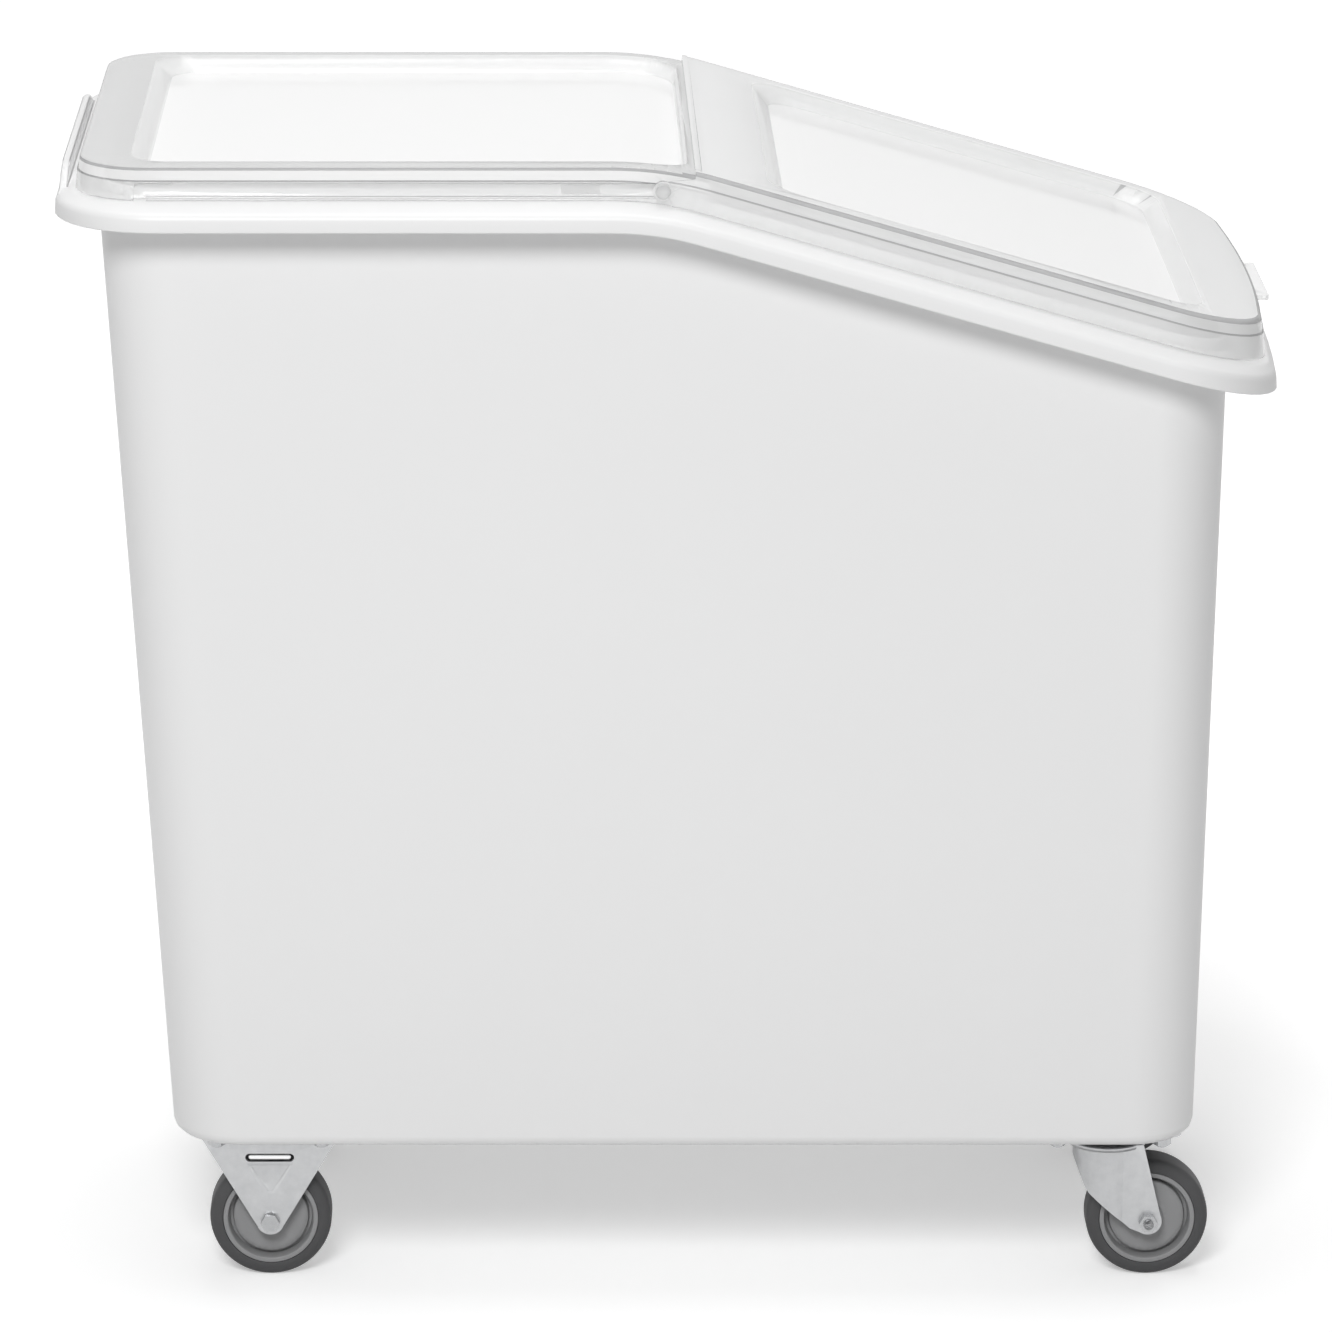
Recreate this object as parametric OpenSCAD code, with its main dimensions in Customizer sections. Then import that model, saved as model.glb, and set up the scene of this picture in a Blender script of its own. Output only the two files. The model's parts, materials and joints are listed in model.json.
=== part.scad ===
// Rolling flour bin: a moulded tub on four casters, closed by two clear lids.
// The rear lid lies flat on the rim and the front lid swings on two pins.
// +X is the low front end, +Z is up, and the floor is at Z = 0.

/* [Rim] */
// Length over the rim
rim_l = 725; // [700:1:760]
// Width over the rim
rim_w = 396; // [380:1:420]
// Height of the flat rear part of the rim above the floor
rim_z = 690.5; // [640:0.5:740]
// Plan radius of the rear rim corners
rim_rear_r = 62; // [50:1:75]
// Plan radius of the front rim corners
rim_front_r = 66; // [62:1:80]
// How far the front edge of the rim bows out at its middle
front_bow = 5; // [2:0.5:8]
// Downward slope of the front part of the rim
slope = 16.1; // [12:0.1:20]
// Where the flat and the sloping parts of the rim would meet
bend_x = -8.5; // [-30:0.5:20]
// Radius of the bend, measured on the ledge
bend_r = 200; // [160:5:240]
// Depth of the turned-down lip below the ledge
lip_drop = 15; // [12:0.5:20]
// Thickness of the lip and the flange
lip_t = 3.5; // [3:0.5:4.5]
// How far the ledge falls towards the edge of the rim
ledge_fall = 3.5; // [2:0.5:5]
// Height of the curb that the lids close over
curb_h = 6; // [3:0.5:7]
// Length of the grip ridge on the rear rim
ridge_l = 188; // [120:1:220]
// Height of the grip ridge above the ledge
ridge_h = 8; // [5:0.5:12]

/* [Tub] */
// Height of the tub's underside, which is the height of the casters
floor_z = 100; // [98:0.5:110]
// Thickness of the tub's walls
wall = 4; // [3:0.5:5]
// Thickness of the tub's floor
floor_t = 5; // [4:0.5:8]
// Overhang of the rim beyond the rear wall
over_rear = 25; // [22:0.5:32]
// Overhang of the rim beyond the front wall
over_front = 29.5; // [26:0.5:36]
// Overhang of the rim beyond the side walls
over_side = 27; // [26.5:0.5:30]
// Draft of the rear wall in degrees
draft_rear = 3.5; // [2:0.1:4.5]
// Draft of the front wall in degrees
draft_front = 0.7; // [0.3:0.1:2]
// Draft of the side walls in degrees
draft_side = 1; // [0.3:0.1:1.4]
// Plan radius of the tub's corners
tub_r = 42; // [36:1:50]
// Radius between the walls and the floor
foot_r = 8; // [6:1:14]

/* [Lids] */
// Thickness of the lids
lid_t = 2.5; // [2:0.1:3]
// Height of the rear lid's top above the ledge
rear_lid_h = 20; // [18.5:0.5:24]
// Radius of the lids' top edge
lid_edge_r = 2.4; // [1.5:0.1:3]
// Gap between the rear lid's skirt and the edge of the rim at the sides
skirt_side = 20; // [19:0.5:21]
// Gap between the rear lid's skirt and the edge of the rim at the rear
skirt_rear = 12.5; // [12:0.5:16]
// Gap between the front lid's skirt and the edge of the rim at the front
skirt_front = 6.5; // [5:0.5:12]
// Plan radius of the rear lid's corners
rear_lid_r = 43; // [36:1:50]
// Plan radius of the front lid's corners
front_lid_r = 60; // [54:1:64]
// Lean of the skirts from bottom to top
skirt_lean = 1.5; // [1:0.1:2.5]
// Height of the step in the skirts below the lid tops
step_drop = 8; // [7:0.5:9]
// Depth of the recessed windows
window_d = 9.5; // [7:0.5:10.5]
// Width of the border beside the windows
window_side = 17; // [14:0.5:24]
// Distance from the rear of the rim to the rear window
window_rear = 45; // [42:1:60]
// Front end of the rear window
rear_window_end = 8; // [0:0.5:9]
// Rear end of the front window
front_window_start = 55; // [50:1:80]
// Distance from the front of the rim to the front window
window_front = 46; // [40:1:60]
// Plan radius of the window corners
window_r = 22; // [14:1:28]
// Rear edge of the front lid's top
front_lid_start = 12; // [11:0.5:13]
// How far the rear lid reaches under the front lid
lid_overlap = 9; // [7:0.5:11]
// Half width of the front handle tab
tab_half = 45; // [30:1:60]
// Thickness of the front handle tab
tab_t = 3; // [2:0.5:4]

/* [Pins and track] */
// Position of the pins along the bin
pin_x = -6.8; // [-12:0.1:-4]
// Height of the pins above the ledge
pin_h = 6.3; // [6.2:0.1:6.8]
// Diameter of the pins
pin_d = 7.36; // [6.4:0.02:7.6]
// Diameter of the pin heads
pin_head_d = 9.2; // [8.4:0.1:11]
// Thickness of the pin heads
pin_head_t = 1.1; // [0.8:0.1:1.6]
// Running clearance of the pins in the track
pin_gap = 0.07; // [0.03:0.01:0.1]
// Thickness of the ears that carry the pins
ear_t = 3; // [2.5:0.1:3.5]
// Width of the material round the pins
ear_rim = 2.4; // [2:0.1:2.4]
// Depth of the pins in the track
pin_depth = 2; // [1.4:0.1:2.2]
// Length of the track behind the pins
track_l = 303.5; // [200:0.5:306]

/* [Wheels] */
// Diameter of the wheels
wheel_d = 75; // [60:1:76]
// Width of the tread
tread_w = 24; // [18:1:26]
// Thickness of the tyre's rubber
tyre_t = 8.2; // [6:0.2:10]
// Shoulder radius of the tyre
shoulder_r = 4; // [2:0.5:5]
// Length of the hub's boss
boss_l = 29.4; // [27:0.2:29.6]
// Diameter of the hub's boss
boss_d = 19; // [15:0.5:22]
// Thickness of the hub's web
web_t = 7; // [5:0.5:9]
// Width of the hub's rim ring
ring_w = 3; // [2:0.5:4]
// Distance of the wheels from the sides of the rim
wheel_side = 95; // [92:0.5:100]
// Distance of the rear axles from the rear of the tub's underside
rear_inset = 58; // [54:0.5:80]
// Distance of the swivel axes from the front of the tub's underside
front_inset = 51; // [46:0.5:60]

/* [Casters] */
// Thickness of the bracket sheet
sheet = 2.5; // [2:0.1:3]
// Space between the bracket cheeks
cheek_gap = 31; // [30:0.5:33]
// Radius of the bracket tips
tip_r = 8.5; // [7:0.5:10]
// Length of the mounting plates
plate_l = 88; // [84:1:96]
// Width of the mounting plates
plate_w = 61; // [60:1:66]
// Corner radius of the mounting plates
plate_r = 8; // [4:1:10]
// Bolt spacing along the plates
bolt_sx = 64; // [60:0.5:66]
// Bolt spacing across the plates
bolt_sy = 48; // [48:0.5:50]
// Distance of the front axle behind the swivel axis
trail = 25.4; // [20:0.1:28]
// Outer diameter of the swivel race
race_d = 48; // [46:0.5:50]
// Height of the swivel head below its plate
head_h = 15; // [14.5:0.1:16]
// Diameter of the race balls
ball_d = 5.5; // [5:0.1:5.6]
// Diameter of the ball circle
ball_circle = 32; // [30:0.5:33]
// Number of balls in each race
ball_n = 14; // [10:1:15]
// Diameter of the king pin
king_d = 10; // [8:0.5:11]
// Thickness of the swivel plate
swivel_plate_t = 3; // [2.5:0.1:3.5]

/* [Fasteners] */
// Diameter of the axle bolts and the plate bolts
bolt_d = 6; // [5:0.1:6.2]
// Width of the hexagons across their flats
hex_af = 10; // [9:0.1:10.2]
// Height of the bolt heads
hex_h = 4; // [3:0.1:5]
// Height of the nuts
nut_h = 5; // [4:0.1:6]
// Outer diameter of the axle sleeves
sleeve_d = 10; // [9:0.1:11]
// Outer diameter of the washers
washer_d = 11.6; // [11:0.1:11.8]
// Thickness of the washers
washer_t = 1.2; // [1:0.1:1.6]
// Diameter of the countersunk heads in the tub's floor
head_d = 11; // [10:0.5:12]

/* [Hidden] */
$fn = 64;

// Clearances between pieces that lie on or in each other
seat = 0.3;         // between faces of pieces that move apart
hole_gap = 0.1;     // between a bolt and its hole, on the radius
run_gap = 0.08;     // between a turning hub and its sleeve, on the radius
joint_gap = 0.3;    // between the two lids where they overlap
eps = 0.01;

// Plan and height of the rim
rim_rear = -rim_l / 2;
rim_front = rim_l / 2 - front_bow;
rim_half = rim_w / 2;
track_half = rim_half - wheel_side;
arc_x = bend_x - bend_r * tan(slope / 2);
corner_steps = 10;
bow_steps = 3;
bend_steps = 8;
bend_reach = 34;
bend_xs = [for (i = [0 : bend_steps])
    arc_x + i * ((bend_r + bend_reach) * sin(slope) + 1) / bend_steps];

// Height at x of the surface that lies h above the ledge, measured square to it
function rim_height(x, h) =
    let (r = bend_r + h, c = rim_z - bend_r, x_end = arc_x + r * sin(slope))
    x <= arc_x ? rim_z + h
    : x < x_end ? c + sqrt(r * r - pow(x - arc_x, 2))
    : c + r * cos(slope) - (x - x_end) * tan(slope);

// Half of a rounded plan outline, from the rear to the front, on the +Y side
function half_outline(xr, xf, hw, rr, rf, bow, xs) = concat(
    [for (i = [0 : corner_steps]) let (a = 180 - 90 * i / corner_steps)
        [xr + rr + rr * cos(a), hw - rr + rr * sin(a)]],
    [for (x = xs) [x, hw]],
    [for (i = [0 : corner_steps]) let (a = 90 - 90 * i / corner_steps)
        [xf - rf + rf * cos(a), hw - rf + rf * sin(a)]],
    [for (k = [1 : bow_steps]) let (s = 1 - k / (bow_steps + 0.5))
        [xf + bow * (1 - s * s), (hw - rf) * s]]);

function outline(xr, xf, hw, rr, rf, bow = 0, xs = bend_xs) =
    let (half = half_outline(xr, xf, hw, rr, rf, bow, xs), n = len(half))
    concat(half, [for (i = [1 : n]) [half[n - i].x, -half[n - i].y]]);

// A ring of points on the surface that lies h above the ledge
function rim_ring(plan, h) = [for (p = plan) [p.x, p.y, rim_height(p.x, h)]];
function flat_ring(plan, z) = [for (p = plan) [p.x, p.y, z]];

// Plan outline of the rim, drawn in by its own amount on each side
function rim_plan(rear, front, side, shrink = 0, bow = front_bow) = outline(
    rim_rear + rear, rim_front - front, rim_half - side,
    rim_rear_r - shrink, rim_front_r - shrink, bow);

// Plan outline of the tub at a height, drawn in by an amount
wall_bow = 1;
function tub_plan(z, inset) = outline(
    rim_rear + over_rear + (rim_z - z) * tan(draft_rear) + inset,
    rim_front - over_front - (rim_height(rim_front, 0) - z) * tan(draft_front) - inset,
    rim_half - over_side - (rim_z - z) * tan(draft_side) - inset,
    tub_r - inset, tub_r - inset, wall_bow);

// The tub's outline at the top, where the height follows the rim
tub_rear = rim_rear + over_rear;
tub_front = rim_front - over_front;
tub_half = rim_half - over_side;
function tub_top_plan(inset) = outline(
    tub_rear + inset, tub_front - inset, tub_half - inset, tub_r - inset, tub_r - inset,
    wall_bow);

// Skin stretched over rings of equal length, closed by strips across its first and last ring
module loft(rings) {
    n = len(rings[0]);
    m = len(rings);
    points = [for (ring = rings) for (p = ring) p];
    sides = [for (k = [0 : m - 2]) for (i = [0 : n - 1]) let (j = (i + 1) % n)
        [k * n + i, k * n + j, (k + 1) * n + j, (k + 1) * n + i]];
    start = [for (i = [0 : n / 2 - 2]) [n - 1 - i, n - 2 - i, i + 1, i]];
    end = [for (i = [0 : n / 2 - 2])
        [for (q = [i, i + 1, n - 2 - i, n - 1 - i]) (m - 1) * n + q]];
    polyhedron(points, concat(start, sides, end), convexity = 8);
}

// Side view shape, as [x, z] points, pushed along Y between two distances
module side_slab(y0, y1) {
    translate([0, y1, 0]) rotate([90, 0, 0]) linear_extrude(y1 - y0) children();
}

module rounded_rect(l, w, r) {
    square([l - 2 * r, w], center = true);
    square([l, w - 2 * r], center = true);
    for (sx = [-1, 1], sy = [-1, 1])
        translate([sx * (l / 2 - r), sy * (w / 2 - r)]) circle(r);
}

// Tub

foot_steps = 3;
edge_r = 4;

module tub_skin() {
    foot = [for (i = [0 : foot_steps]) let (a = 90 * i / foot_steps)
        flat_ring(tub_plan(floor_z + foot_r * (1 - cos(a)), foot_r * (1 - sin(a))),
            floor_z + foot_r * (1 - cos(a)))];
    in_r = foot_r * 0.4;
    in_z = floor_z + floor_t;
    in_foot = [for (i = [foot_steps : -1 : 0]) let (a = 90 * i / foot_steps)
        flat_ring(tub_plan(in_z + in_r * (1 - cos(a)), wall + in_r * (1 - sin(a))),
            in_z + in_r * (1 - cos(a)))];
    inner_lip = lip_t;
    rim = [
        rim_ring(tub_top_plan(0), -lip_t - 1),
        rim_ring(rim_plan(inner_lip + 2, inner_lip + 2, inner_lip + 2, inner_lip + 2),
            -ledge_fall - lip_t),
        rim_ring(rim_plan(inner_lip, inner_lip, inner_lip, inner_lip), -ledge_fall - lip_t - 2),
        rim_ring(rim_plan(inner_lip, inner_lip, inner_lip, inner_lip), 1 - lip_drop),
        rim_ring(rim_plan(inner_lip - 1, inner_lip - 1, inner_lip - 1, inner_lip - 1), -lip_drop),
        rim_ring(rim_plan(1, 1, 1, 1), -lip_drop),
        rim_ring(rim_plan(0, 0, 0, 0), 1 - lip_drop),
        rim_ring(rim_plan(0.4, 0.4, 0.4, 0.4), -ledge_fall - edge_r),
        rim_ring(rim_plan(1.5, 1.2, 1.5, 1.4), -ledge_fall - edge_r * 0.35),
        rim_ring(rim_plan(edge_r, 2.6, edge_r, edge_r), -ledge_fall),
        rim_ring(rim_plan(8.5, 4, 12, 9), -ledge_fall * 0.38),
        rim_ring(rim_plan(skirt_rear - 0.8, skirt_front - 0.8, skirt_side - 0.5, 18), 0),
        rim_ring(tub_top_plan(0), 0),
        rim_ring(tub_top_plan(0.2), curb_h - 1),
        rim_ring(tub_top_plan(1), curb_h),
        rim_ring(tub_top_plan(wall - 0.8), curb_h),
        rim_ring(tub_top_plan(wall), curb_h - 1),
        rim_ring(tub_top_plan(wall), -lip_t - 1)
    ];
    loft(concat(foot, rim, in_foot));
}

ridge_w = 4.6;
ridge_x = rim_rear + 2.2;
ridge_taper = 46;
ridge_steps = 8;

// Rear view of the grip ridge, which runs out in a soft curve at each end
module ridge_profile(drop) {
    low = rim_z - ledge_fall - 0.5;
    rise = ridge_h - drop + ledge_fall + 0.5;
    run_out = [for (i = [0 : ridge_steps]) let (s = i / ridge_steps)
        [ridge_l / 2 + ridge_taper * (1 - s), low + rise * (1 - cos(180 * s)) / 2]];
    polygon(concat(
        [[-ridge_l / 2 - ridge_taper, low - 2], [ridge_l / 2 + ridge_taper, low - 2]],
        run_out,
        [for (i = [ridge_steps : -1 : 0]) [-run_out[i].x, run_out[i].y]]));
}

module grip_ridge() {
    translate([ridge_x, 0, 0]) rotate([90, 0, 90]) linear_extrude(ridge_w) ridge_profile(1);
    translate([ridge_x + 0.8, 0, 0]) rotate([90, 0, 90])
        linear_extrude(ridge_w - 1.6) ridge_profile(0);
}

module tub() {
    color("whitesmoke") difference() {
        union() {
            tub_skin();
            grip_ridge();
        }
        at_plate_bolts() translate([0, 0, floor_z - 1])
            cylinder(h = floor_t + 2, d = bolt_d + 2 * hole_gap);
        at_plate_bolts() translate([0, 0, inner_floor - sink_t]) {
            cylinder(h = sink_t - sink_lip, d1 = bolt_d + 2 * hole_gap, d2 = head_d + 2 * hole_gap);
            translate([0, 0, sink_t - sink_lip - eps])
                cylinder(h = sink_lip + 1, d = head_d + 2 * hole_gap);
        }
    }
}

// Lids

front_lid_h = rear_lid_h + lid_t + joint_gap;
rear_lid_side = rim_half - skirt_side;
rear_lid_rear = rim_rear + skirt_rear;
front_lid_front = rim_front - skirt_front;
front_lid_side = rear_lid_side + seat + 0.1 + ear_t;
step_out = 0.9;
pin_z = rim_z + pin_h;
track_r = pin_d / 2 + pin_gap;

// A lid's skin: top h above the ledge, with a stepped and leaning skirt.
// The grown value moves the outline in (positive) or out.
function lid_ring(xr, xf, hw, rr, rf, inset, h) =
    rim_ring(outline(xr + inset, xf - inset, hw - inset, rr - inset, rf - inset, front_bow), h);

module lid_skin(xr, xf, hw, rr, rf, top, bottom) {
    step_h = top - step_drop;
    lean_step = skirt_lean * 0.6;
    loft([
        lid_ring(xr, xf, hw, rr, rf, skirt_lean + step_out + lid_t + 1.5, top - lid_t),
        lid_ring(xr, xf, hw, rr, rf, skirt_lean + step_out + lid_t, top - lid_t - 1.5),
        lid_ring(xr, xf, hw, rr, rf, lean_step + step_out + lid_t, step_h - 1.2),
        lid_ring(xr, xf, hw, rr, rf, lean_step + lid_t, step_h - 2.4),
        lid_ring(xr, xf, hw, rr, rf, lid_t, bottom),
        lid_ring(xr, xf, hw, rr, rf, 0, bottom),
        lid_ring(xr, xf, hw, rr, rf, lean_step, step_h - 0.9),
        lid_ring(xr, xf, hw, rr, rf, lean_step + step_out, step_h),
        lid_ring(xr, xf, hw, rr, rf, skirt_lean + step_out, top - lid_edge_r),
        lid_ring(xr, xf, hw, rr, rf, skirt_lean + step_out + lid_edge_r * 0.3,
            top - lid_edge_r * 0.3),
        lid_ring(xr, xf, hw, rr, rf, skirt_lean + step_out + lid_edge_r, top)
    ]);
}

// A window's recess as a solid: its floor at low, its mouth at high, with sloping ends
window_lean = 9;
window_lean_front = 3;
function window_ring(xr, xf, hw, r, inset, lean, lean_f, h, xs) = rim_ring(
    outline(xr + inset + lean, xf - inset - lean_f, hw - inset - lean * 0.35,
        r - inset, r - inset, wall_bow / 2, xs), h);

module window_plug(xr, xf, hw, lean_r, lean_f, grow, low, high, top, xs) {
    depth = window_d;
    k_high = (top - high) / depth;
    loft([
        window_ring(xr, xf, hw, window_r, 1.2 - grow, lean_r, lean_f, low, xs),
        window_ring(xr, xf, hw, window_r, -grow, lean_r, lean_f, low + 1.2, xs),
        window_ring(xr, xf, hw, window_r, -grow, lean_r * k_high, lean_f * k_high, high, xs),
        if (high > top - 1) window_ring(xr, xf, hw, window_r, -grow - 1, 0, 0, high + 2, xs)
    ]);
}

rear_window_xs = [for (x = bend_xs) if (x < rear_window_end - window_r - 3) x];

module rear_window(grow, low, high) {
    window_plug(rim_rear + window_rear, rear_window_end, rear_lid_side - window_side,
        window_lean, 1.5, grow, low, high, rear_lid_h, rear_window_xs);
}

front_window_end = rim_front - window_front;
front_window_xs = [for (i = [1 : 3])
    front_window_start + window_r + 5
    + i * (front_window_end - front_window_start - 2 * window_r - 10) / 4];

module front_window(grow, low, high) {
    window_plug(front_window_start, front_window_end, rear_lid_side - window_side,
        window_lean, window_lean, grow, low, high, front_lid_h, front_window_xs);
}

module window_pan(top, is_rear) {
    low = top - window_d - lid_t;
    if (is_rear) rear_window(lid_t, low, top - 1.2);
    else front_window(lid_t, low, top - 1.2);
}

module window_recess(top, is_rear) {
    low = top - window_d;
    if (is_rear) rear_window(0, low, top);
    else front_window(0, low, top);
}

// Rear lid with its side tracks for the pins
rear_lid_end = front_lid_start + lid_overlap;
end_top = rim_height(rear_lid_end - rear_lid_h / 2, rear_lid_h);
end_low = rim_height(rear_lid_end - rear_lid_h / 2, seat);
end_r = (end_top - end_low) / 2;
end_x = rear_lid_end - end_r;
track_back = rear_lid_side - skirt_lean * 0.6 - pin_depth - seat;
backing = 2.2;
backing_h = track_r + 1.4;
entry_l = 2 * track_r;
notch_x = pin_x - track_l + 19;
notch_l = 8.4;
notch_h = 1.3;
detent_x = pin_x - 59;
detent_l = 22.6;
detent_h = 5.2;

module track_shape(r) {
    translate([pin_x, pin_z]) circle(r);
    translate([pin_x - track_l, pin_z]) circle(r);
    translate([pin_x - track_l, pin_z - r]) square([track_l, 2 * r]);
}

module both_sides() {
    children();
    mirror([0, 1, 0]) children();
}

module rear_lid() {
    color("gainsboro", 0.5) difference() {
        union() {
            intersection() {
                union() {
                    lid_skin(rear_lid_rear, 150, rear_lid_side, rear_lid_r, 20,
                        rear_lid_h, seat);
                    window_pan(rear_lid_h, true);
                }
                union() {
                    translate([rim_rear, -rim_half, rim_z - 60])
                        cube([end_x - rim_rear, rim_w, 100]);
                    side_slab(-rim_half, rim_half)
                        translate([end_x, (end_top + end_low) / 2]) circle(end_r);
                }
            }
            both_sides() side_slab(track_back - backing, track_back + 1)
                translate([pin_x - track_l - track_r - 2, rim_z + seat + 0.6])
                    square([track_l + 2 * track_r + 4, pin_h + backing_h - seat - 0.6]);
        }
        window_recess(rear_lid_h, true);
        both_sides() {
            side_slab(track_back, rim_half) track_shape(track_r);
            side_slab(track_back, rim_half)
                translate([pin_x - track_l - track_r, rim_z - 1])
                    square([entry_l, pin_h + 1]);
            side_slab(track_back, rim_half)
                translate([notch_x, pin_z]) square([notch_l, track_r + notch_h]);
        }
    }
    color("gainsboro", 0.5) both_sides() side_slab(track_back - 0.2, track_back + 0.15)
        translate([detent_x, pin_z - detent_h / 2]) square([detent_l, detent_h]);
}

// Front lid with its ears, handle tab and rear bead
ear_r = pin_d / 2 + ear_rim;
ear_in = rear_lid_side + seat + 0.1;
ear_merge = 20;
ear_merge_x = front_lid_start + ear_merge;
ear_heel_x = pin_x + ear_r - 1;
bead_w = 3.4;
bead_h = 1;
front_seat = 0.5;
tab_out = 5.6;
tab_drop = 6;

module ear_shape() {
    step_h = front_lid_h - step_drop;
    translate([pin_x, pin_z]) circle(ear_r);
    polygon([
        [pin_x - ear_r * 0.55, pin_z + ear_r * 0.8],
        [front_lid_start, rim_height(front_lid_start, step_h + 4)],
        [front_lid_start + 8, rim_height(front_lid_start + 8, step_h - 0.9)],
        [ear_merge_x, rim_height(ear_merge_x, step_h - 0.9)],
        [ear_merge_x, rim_height(ear_merge_x, front_seat + 0.5)],
        [front_lid_start + 8, rim_height(front_lid_start + 8, front_seat)],
        [ear_heel_x, rim_height(ear_heel_x, front_seat)],
        [ear_heel_x - 1.5, pin_z - ear_r * 0.6]
    ]);
}

module front_tab() {
    x_in = front_lid_front + front_bow - 4;
    x_out = front_lid_front + front_bow + tab_out;
    z = rim_height(x_in, front_lid_h - tab_drop);
    translate([(x_in + x_out) / 2, 0, z - tab_t]) linear_extrude(tab_t)
        rounded_rect(x_out - x_in, 2 * tab_half, 2.5);
}

module front_lid() {
    color("gainsboro", 0.5) difference() {
        union() {
            difference() {
                union() {
                    lid_skin(-160, front_lid_front, front_lid_side, 20, front_lid_r,
                        front_lid_h, front_seat);
                    window_pan(front_lid_h, false);
                }
                difference() {
                    translate([rim_rear, -rim_half, rim_z - 60])
                        cube([front_lid_start - rim_rear, rim_w, 100]);
                    both_sides() side_slab(ear_in, rim_half) ear_shape();
                }
            }
            both_sides() side_slab(ear_in, ear_in + ear_t)
                translate([pin_x, pin_z]) circle(ear_r);
            side_slab(-front_lid_side + 8, front_lid_side - 8) polygon([
                [front_lid_start, rim_height(front_lid_start, front_lid_h - 1)],
                [front_lid_start, rim_height(front_lid_start, front_lid_h + bead_h)],
                [front_lid_start + bead_w,
                    rim_height(front_lid_start + bead_w, front_lid_h + bead_h)],
                [front_lid_start + bead_w + 1,
                    rim_height(front_lid_start + bead_w + 1, front_lid_h - 1)]
            ]);
            front_tab();
        }
        window_recess(front_lid_h, false);
        side_slab(-rim_half, rim_half)
            translate([pin_x, pin_z]) circle(d = pin_d + 2 * pin_gap);
    }
}

// A pin stands on the +Y side and is mirrored for the other
module lid_pin(side) {
    mirror([0, side < 0 ? 1 : 0, 0]) color("lightgray", 0.7)
        translate([pin_x, 0, pin_z]) rotate([-90, 0, 0]) {
            translate([0, 0, track_back + seat]) cylinder(h = ear_in + ear_t - track_back - seat
                + eps, d = pin_d);
            translate([0, 0, ear_in + ear_t]) cylinder(h = pin_head_t * 0.5, d = pin_head_d);
            translate([0, 0, ear_in + ear_t + pin_head_t * 0.5])
                cylinder(h = pin_head_t * 0.5, d1 = pin_head_d, d2 = pin_head_d - 1.6);
        }
}

module lid_pin_right() { lid_pin(-1); }
module lid_pin_left() { lid_pin(1); }

// Where the casters stand

inner_floor = floor_z + floor_t;
axle_z = wheel_d / 2;
rear_axle_x = rim_rear + over_rear + (rim_z - floor_z) * tan(draft_rear) + rear_inset;
swivel_x = rim_front - over_front
    - (rim_height(rim_front, 0) - floor_z) * tan(draft_front) - front_inset;
cheek_in = cheek_gap / 2;
cheek_out = cheek_in + sheet;

// Moves children from a caster's own frame: x along the bin, y = 0 at the wheel's middle.
// On the left side the caster is mirrored, so that its outer face stays outside.
module at_caster(x, side) {
    translate([x, 0, 0]) mirror([0, side > 0 ? 1 : 0, 0]) translate([0, -track_half, 0])
        children();
}

module at_plate_bolts() {
    for (x = [rear_axle_x, swivel_x], side = [-1, 1], sx = [-1, 1], sy = [-1, 1])
        translate([x + sx * bolt_sx / 2, side * track_half + sy * bolt_sy / 2, 0]) children();
}

module plate_outline() {
    difference() {
        rounded_rect(plate_l, plate_w, plate_r);
        for (sx = [-1, 1], sy = [-1, 1]) translate([sx * bolt_sx / 2, sy * bolt_sy / 2])
            circle(d = bolt_d + 2 * hole_gap);
    }
}

// Point where the line from p touches a circle at c; s picks the side.
// The circle is drawn slightly larger, so the line runs into it.
function touch(p, c, r, s) =
    let (d = p - c, a = atan2(d.y, d.x) + s * acos((r - 0.15) / norm(d)))
    c + (r - 0.15) * [cos(a), sin(a)];

// Rigid bracket: a plate with two tapering cheeks, pressed with a slot and a dimple
plate_t = sheet;
cheek_half = plate_l / 2;
slot_l = 30;
slot_h = 5.2;
slot_z = floor_z - 20.7;
dimple_l = 27;
dimple_top = floor_z - 24.5;
dimple_low = floor_z - 44.4;
dimple_t = 1.1;

module cheek_shape() {
    axle = [0, axle_z];
    top = floor_z - plate_t / 2;
    difference() {
        union() {
            polygon([
                [-cheek_half, top], [-cheek_half, top - 3],
                touch([-cheek_half, top - 3], axle, tip_r, 1),
                touch([cheek_half, top - 3], axle, tip_r, -1),
                [cheek_half, top - 3], [cheek_half, top]
            ]);
            translate(axle) circle(tip_r);
        }
        translate([-slot_l / 2 + slot_h / 2, slot_z]) circle(d = slot_h);
        translate([slot_l / 2 - slot_h / 2, slot_z]) circle(d = slot_h);
        translate([0, slot_z]) square([slot_l - slot_h, slot_h], center = true);
        translate(axle) circle(d = bolt_d + 2 * hole_gap);
    }
}

module dimple_shape(shrink) {
    polygon([
        [-dimple_l / 2 + shrink, dimple_top - shrink],
        [-dimple_l / 2 + shrink, dimple_top - 2],
        [-2.5 + shrink * 0.5, dimple_low + shrink],
        [2.5 - shrink * 0.5, dimple_low + shrink],
        [dimple_l / 2 - shrink, dimple_top - 2],
        [dimple_l / 2 - shrink, dimple_top - shrink]
    ]);
}

module rigid_bracket() {
    color("lightsteelblue") {
        translate([0, 0, floor_z - plate_t]) linear_extrude(plate_t) plate_outline();
        for (s = [0, 1]) mirror([0, s, 0]) difference() {
            side_slab(cheek_in, cheek_out) cheek_shape();
            side_slab(cheek_out - dimple_t / 2, cheek_out + 1) dimple_shape(1);
            side_slab(cheek_out - dimple_t, cheek_out + 1) dimple_shape(2);
        }
    }
}

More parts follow.
